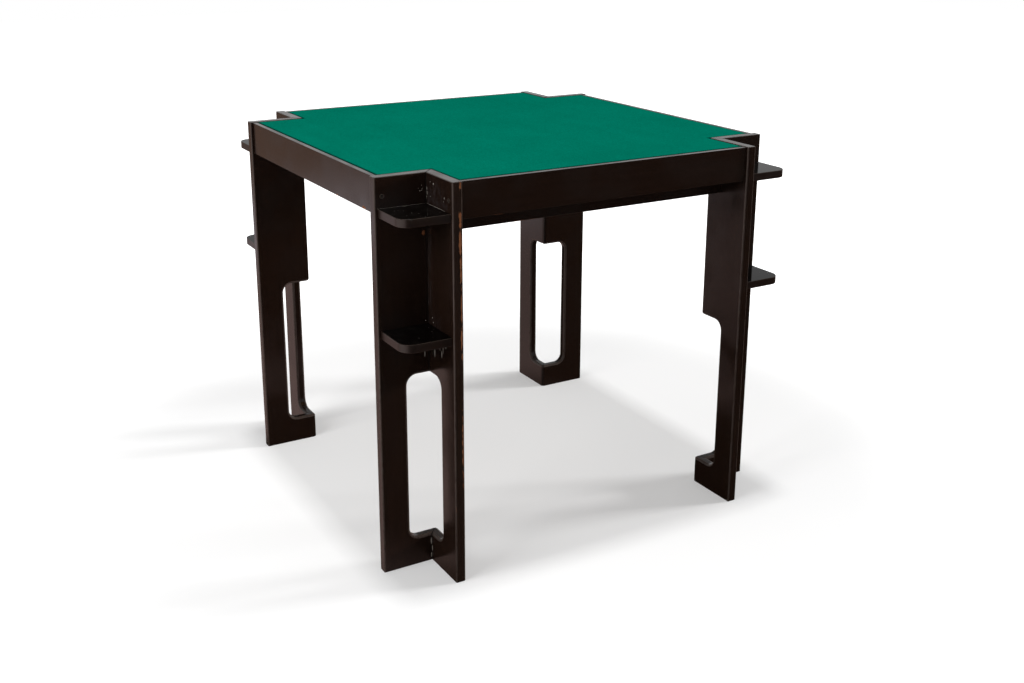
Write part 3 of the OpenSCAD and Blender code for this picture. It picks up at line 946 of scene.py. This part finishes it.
@dataclass(frozen=True)
class TopPanel:
    """A loose cross-shaped plywood panel with felt glued over its top and round its edges."""

    corner_radius: float = 4 * MM
    fold: float = 2 * MM
    hem: float = 0.4 * MM  # how far the skirt's lower arrises are cut back
    skirt: float = 1.45 * MM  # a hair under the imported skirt, so that it clears the board
    corner_steps: int = 6
    fold_steps: int = 4

    def build(self) -> None:
        """Dresses the board and makes the felt over it."""
        dress_packed("top_panel_board", Plywood("birch_plywood_panel"))
        low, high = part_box("top_panel_felt")
        felt = link_object("top_panel_baize", bpy.data.meshes.new("top_panel_baize"),
                           Baize(reach=high.x, arm=self.arm()).material())
        area = self.shell(felt)
        hand_in(felt, "top_panel", "green_felt", ["top_panel_felt"])

    def outline(self, margin: float) -> list[tuple[float, float]]:
        """The panel's outline from above, anticlockwise, this far inside the felt's outer face."""
        _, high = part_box("top_panel_felt")
        inner = self.arm() - margin
        radius = max(self.corner_radius - margin, 0.3 * MM)
        angles = [math.pi / 2 * step / self.corner_steps for step in range(self.corner_steps + 1)]
        first, second = [[(x - radius + radius * math.cos(angle), y - radius + radius * math.sin(angle))
                          for angle in angles]
                         for x, y in ((high.x - margin, inner), (inner, high.y - margin))]
        return [(x * cos - y * sin, x * sin + y * cos) for cos, sin in ((1, 0), (0, 1), (-1, 0), (0, -1))
                for x, y in (*first, (inner, inner), *second)]

    def arm(self) -> float:
        """Half the width of the panel's arms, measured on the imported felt."""
        _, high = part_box("top_panel_felt")
        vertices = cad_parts["top_panel_felt"].data.vertices
        return max(v.co.y for v in vertices if v.co.x > high.x - WELD) + self.corner_radius

    def shell(self, felt: Piece) -> float:
        """Lofts the felt as one closed shell: down the outside, under the skirt and up against the board.

        Args:
            felt: The empty object that takes the shell.

        Returns:
            The felt's flat area in square metres.
        """
        mesh = felt.data
        low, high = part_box("top_panel_felt")
        _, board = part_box("top_panel_board")
        rings = [(self.skirt, board.z + 0.02 * MM), (self.skirt, low.z + self.hem),
                 (self.skirt - self.hem, low.z), (self.hem, low.z), (0.0, low.z + self.hem)]
        for step in range(self.fold_steps + 1):
            angle = math.pi / 2 * step / self.fold_steps
            rings.append((self.fold * (1 - math.cos(angle)), high.z - self.fold * (1 - math.sin(angle))))
        points = [(x, y, z) for margin, z in rings for x, y in self.outline(margin)]
        outer = self.outline(0.0)
        count = len(outer)
        last = len(points) - count
        faces = [list(range(count))]
        for i in range(0, last, count):
            for j in range(count):
                k = (j + 1) % count
                faces.append([i + j, i + count + j, i + count + k, i + k])
        faces.append(list(range(last, last + count)))
        mesh.from_pydata(points, [], faces)
        shape = bmesh.new()
        shape.from_mesh(mesh)
        bmesh.ops.recalc_face_normals(shape, faces=shape.faces)
        for face in shape.faces:
            face.smooth = True
        shape.to_mesh(mesh)
        shape.free()
        mesh.set_sharp_from_angle(angle=math.radians(50))
        shade_flats_flat(felt)
        edges = list(zip(outer, outer[1:] + outer[:1]))
        flat = sum(a[0] * b[1] - b[0] * a[1] for a, b in edges) / 2
        around = sum(math.dist(a, b) for a, b in edges)
        return flat + around * (high.z - low.z)


# ---- Traces of glue ----


@dataclass(frozen=True)
class GlueTraces:
    """Dried glue in the notches: drips under the shelves and specks beside the mitres; on the front right
    leg's end arris, pale slivers that make a painted highlight line.
    """

    seed: int = 7
    drips: int = 5
    specks: int = 4
    busiest: str = "shelf_lower_front_left"
    # place, half sizes in millimetres, and the turn in degrees that lays the trace flat on its board
    seen: tuple[tuple[float, ...], ...] = (
        (-375, -327, 690.1, 44, 0.15, 0.18, 0), (-327, -362, 690.1, 34, 0.2, 0.25, 90),
        # The four rows at x 309.6 and 309.7 lie on the front right leg's end arris: a pale scratch spot at
        # 647, with a painted highlight line of slivers above it.
        (309.7, -423.3, 647, 1.3, 0.6, 3.6, 45), (309.6, -423.4, 668, 0.5, 0.3, 7, 45),
        (309.6, -423.4, 702, 0.5, 0.3, 14, 45), (309.6, -423.4, 728, 0.35, 0.3, 9, 45),
        (-339, -327, 713, 1.1, 0.4, 0.9, 0), (-335, -327, 716, 0.8, 0.4, 0.7, 0),
        (-342, -327, 718, 0.5, 0.3, 0.5, 0), (-327, -330, 717, 0.7, 0.4, 2.4, -90),
        (-327, -331, 709, 1.0, 0.4, 3, -90), (-327, -329, 702, 0.5, 0.4, 1.6, -90),
        (-327, -343, 731, 0.8, 0.4, 0.8, -90), (-327, -395, 712, 0.9, 0.4, 1.6, -90),
        (-327, -392, 706, 0.6, 0.4, 0.8, -90), (-327, -355, 729, 1.5, 0.5, 1.5, -90),
        (-327, -351, 424, 1.0, 0.7, 9, -90), (-327, -378, 428, 0.9, 0.6, 6, -90),
        (-335, -327, 421, 1.0, 0.7, 11, 0), (-328.5, -327, 40, 0.9, 0.6, 6, 0),
        (-327, -328.5, 25, 0.8, 0.5, 5, -90), (-328.5, -327, 11, 1.1, 0.6, 4, 0))

    def build(self) -> None:
        """Makes all the traces as one piece."""
        chance = random.Random(self.seed)
        traces = [(Vector(row[:3]) * MM, Vector(row[3:6]) * MM, math.radians(row[6])) for row in self.seen]
        for level in ("upper", "lower"):
            for corner in CORNERS:
                traces += self.of_shelf(f"shelf_{level}_{corner}", chance)
        places, sizes, turns = zip(*traces)
        starts = starting_points("glue_places", places, size=sizes, turn=[(0.0, 0.0, turn) for turn in turns])
        tree = ShapeTree("glue_traces", DRIED_GLUE, unevenness=0.3, sides=10, rings=6, seed=self.seed)
        piece = tree.run("glue_traces", self.drop(tree), starts, Rotation=tree.reads("turn"),
                         Scale=tree.reads("size"))
        hand_in(piece, "frame", "lacquered_wood")

    def of_shelf(self, node: str, chance: random.Random) -> list[tuple[Vector, Vector, float]]:
        """The drips that hang from a shelf's two joints, and the specks above them.

        Args:
            node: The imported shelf.
            chance: The source of chance.

        Returns:
            Each trace's place, its three half sizes, and the turn that lays it flat on its board.
        """
        low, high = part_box(node)
        many = 2 if node == self.busiest else 1
        traces = []

        def put(reach: float, z: float, size: Vector) -> None:
            """Puts a trace this far along one of the shelf's two joints."""
            on_first = chance.random() < 0.5
            place = [math.copysign(min(abs(low[i]), abs(high[i])) + (reach if on_first == (i == 0) else 0.0),
                                   low[i]) for i in (0, 1)]
            traces.append((Vector((*place, z)), size, 0.0 if on_first else math.pi / 2))

        for _ in range(self.drips * many):
            reach = chance.uniform(2, 70) * MM
            length = chance.uniform(1.2, 7.0 * many) * MM
            size = Vector((chance.uniform(0.4, 0.8), chance.uniform(0.3, 0.6), 0.0)) * MM
            size.z = length
            put(reach, low.z - 0.8 * length, size)
        for _ in range(self.specks):
            wide = chance.uniform(0.4, 1.0) * MM
            reach = chance.uniform(1, 25) * MM
            put(reach, high.z + chance.uniform(0.5, 40) * MM, Vector((wide, 0.4 * wide, wide)))
        return traces

    @staticmethod
    def drop(tree: ShapeTree) -> Socket:
        """One closed, uneven drop of unit radius."""
        unevenness, sides, rings, seed = list(tree.given)[1:5]
        ball = tree.add("MeshUVSphere", sides, rings, 1.0)
        swell = tree.add("FunctionNodeRandomValue FLOAT", 0.0, unevenness, None, seed)
        push = tree.add("VectorMath SCALE", tree.add("InputPosition"), swell)
        return tree.add("SetShadeSmooth", tree.add("SetPosition", {"Geometry": ball, "Offset": push}))


# ---- Studio ----


@dataclass(frozen=True)
class SoftBox:
    """A lamp with a flat diffuser, aimed at a point."""

    name: str
    place: Point
    aim: Point
    size: tuple[float, float]
    watts: float
    shows_in_gloss: bool = False

    def build(self) -> None:
        """Makes the lamp."""
        wide, high = self.size
        light = having(bpy.data.lights.new(self.name, "AREA"), shape="RECTANGLE", size=wide, size_y=high,
                       energy=self.watts)
        turn = (Vector(self.aim) - Vector(self.place)).to_track_quat("-Z", "Y")
        having(link_object(self.name, light), location=self.place, rotation_mode="QUATERNION",
               rotation_quaternion=turn, visible_glossy=self.shows_in_gloss)


@dataclass(frozen=True)
class FloorPaint(Finish):
    """Matt white paint that shows as pure white, except where the table keeps the light off it.

    In the lacquer it shows painted reflections instead of itself: dark under the table and in front of it,
    paler beside it, with a painted window brighter than white paint off the front left.
    """

    name: str = "matt_white_floor_paint"
    white: float = 0.62
    glow: float = 0.315
    shadow_reach: float = 0.75  # beyond this the floor turns to plain white
    # front, near, middle and far, the painted window and the painted dark spot are painted reflections: what
    # the lacquer mirrors in place of the floor
    front: str = "#31241d"
    near: str = "#b29690"
    middle: str = "#e2d4d9"
    far: str = "#937667"
    painted_window_reflection: tuple[float, float, float, float] = (1.25, 1.04, 0.98, 1.0)  # brighter than white paint
    painted_dark_spot: Point = (-0.32, 0.19, 0.0)

    def shader(self, node: Adder) -> Socket:
        """Builds what the camera sees, the painted reflection that the lacquer mirrors in place of the floor,
        and no floor from below.
        """
        rays = node("LightPath").node.outputs
        paint = node("BsdfDiffuse", (*[self.white] * 3, 1.0))
        here = node("TexCoord", out="Object")
        away = node("VectorMath LENGTH", here)
        strength = node("MapRange", away, self.shadow_reach, 2 * self.shadow_reach, self.glow, 1.0, **SMOOTH)
        seen = node("AddShader", paint, node("Emission", WHITE, strength))
        across = node("SeparateXYZ", here, out="Y")
        aside = across.node.outputs["X"]
        slant = node("Math SUBTRACT", across, aside)
        ahead = node("MapRange", node("Math ADD", across, aside), -0.6, -2.2)
        corner = node("Math MULTIPLY", node("MapRange", slant, -0.4, 1.0), ahead)
        behind = node("VectorMath DISTANCE", here, self.painted_dark_spot)
        # Painted reflection: the floor's colour in the lacquer, set by where the mirrored ray lands.
        shade = srgb(self.near)
        for where, low, high, colour in (
                (across, 1.4, 2.3, self.middle), (across, 2.2, 3.3, self.far),
                (slant, 0.25, -0.15, self.front), (behind, 0.26, 0.15, self.front),
                (corner, 0.0, 1.0, self.painted_window_reflection)):
            shade = node("Mix RGBA", node("MapRange", where, low, high, **SMOOTH), shade, colour)
        painted_reflection = node("Emission", shade, 1.0)
        for share, shown in ((rays["Is Camera Ray"], seen), (rays["Is Glossy Ray"], painted_reflection),
                             (node("NewGeometry", out="Backfacing"), node("BsdfTransparent"))):
            paint = node("MixShader", share, paint, shown)
        return paint


@dataclass(frozen=True)
class Studio:
    """A white room: a plain floor that keeps the shadow, soft boxes, and even light from all round."""

    floor_half: float = 12.0
    sky: float = 0.27
    horizon: float = 0.7
    dark_side: float = 0.38
    ceiling: float = 0.18
    boxes: tuple[SoftBox, ...] = (
        SoftBox("overhead_box", (0.0, 0.15, 14.0), (0.0, 0.0, 0.0), (1.2, 1.2), 740.0, shows_in_gloss=True),
        SoftBox("right_key_box", (8.2, -2.6, 2.3), (0.0, 0.0, 0.2), (1.9, 1.2), 810.0),
        SoftBox("left_fill_box", (-2.6, -0.6, 2.0), (0.0, 0.0, 0.4), (1.6, 1.6), 45.0))

    def build(self) -> None:
        """Makes the floor, the room's light and the lamps."""
        half = self.floor_half
        mesh = bpy.data.meshes.new("floor")
        mesh.from_pydata([(-half, -half, 0), (half, -half, 0), (half, half, 0), (-half, half, 0)], [],
                         [(0, 1, 2, 3)])
        floor = link_object("floor", mesh, FloorPaint().material())
        self.room_light()
        for box in self.boxes:
            box.build()
        bpy.context.scene.view_settings.view_transform = "Standard"

    def room_light(self) -> None:
        """Lights the room evenly, shows its walls as white, and is darker in front and above in mirrors."""
        world = bpy.data.worlds.new("white_room")
        bpy.context.scene.world = world
        world.use_nodes = True
        tree = world.node_tree
        tree.nodes.clear()
        node = partial(add, tree)
        rays = node("LightPath").node.outputs
        way = node("SeparateXYZ", node("TexCoord", out="Generated"), out="Y")
        wall = node("MapRange", way.node.outputs["Z"], 0.3, 0.42, self.horizon, self.ceiling)
        level = node("MapRange", way, -0.35, -0.05, self.dark_side, wall)
        light = node("Background", (*[self.sky] * 3, 1.0), 1.0)
        for share, seen in ((rays["Is Glossy Ray"], level), (rays["Is Camera Ray"], 1.0)):
            light = node("MixShader", share, light, node("Background", WHITE, seen))
        node("OutputWorld", light)


@dataclass(frozen=True)
class TableCamera:
    """The camera, a little above the table top and off its front left corner."""

    place: Point = (-1.23083, -2.16543, 1.17574)
    azimuth: float = 0.529384
    down: float = 0.281261
    roll: float = 0.003237
    lens: float = 42.666
    shift_y: float = -0.0781

    def build(self) -> None:
        """Makes the camera and turns it to the table."""
        ahead = Vector((math.sin(self.azimuth) * math.cos(self.down),
                        math.cos(self.azimuth) * math.cos(self.down), -math.sin(self.down)))
        right = Vector((math.cos(self.azimuth), -math.sin(self.azimuth), 0.0))
        up = right.cross(ahead)
        cos, sin = math.cos(self.roll), math.sin(self.roll)
        camera = link_object("camera", having(
            bpy.data.cameras.new("camera"), lens=self.lens, sensor_width=36.0, sensor_fit="HORIZONTAL",
            shift_y=self.shift_y, clip_start=0.05, clip_end=100.0))
        turn = Matrix((cos * right + sin * up, cos * up - sin * right, -ahead)).transposed().to_4x4()
        camera.matrix_world = Matrix.Translation(self.place) @ turn
        bpy.context.scene.camera = camera


def main() -> None:
    """Builds the table piece by piece, and then the studio round it."""
    screws = [WoodScrews(f"{kind}_screws") for kind in ("apron", "bearer", "runner", "cross_rail")]
    drawers = [Drawer("front_drawer"), Drawer("back_drawer")]
    for part in (TableCamera(), Legs(), CornerShelves(), Aprons(), UnderFrame(), *screws, *drawers,
                 TopPanel(), GlueTraces(), Studio()):
        part.build()


if __name__ == "__main__":
    main()
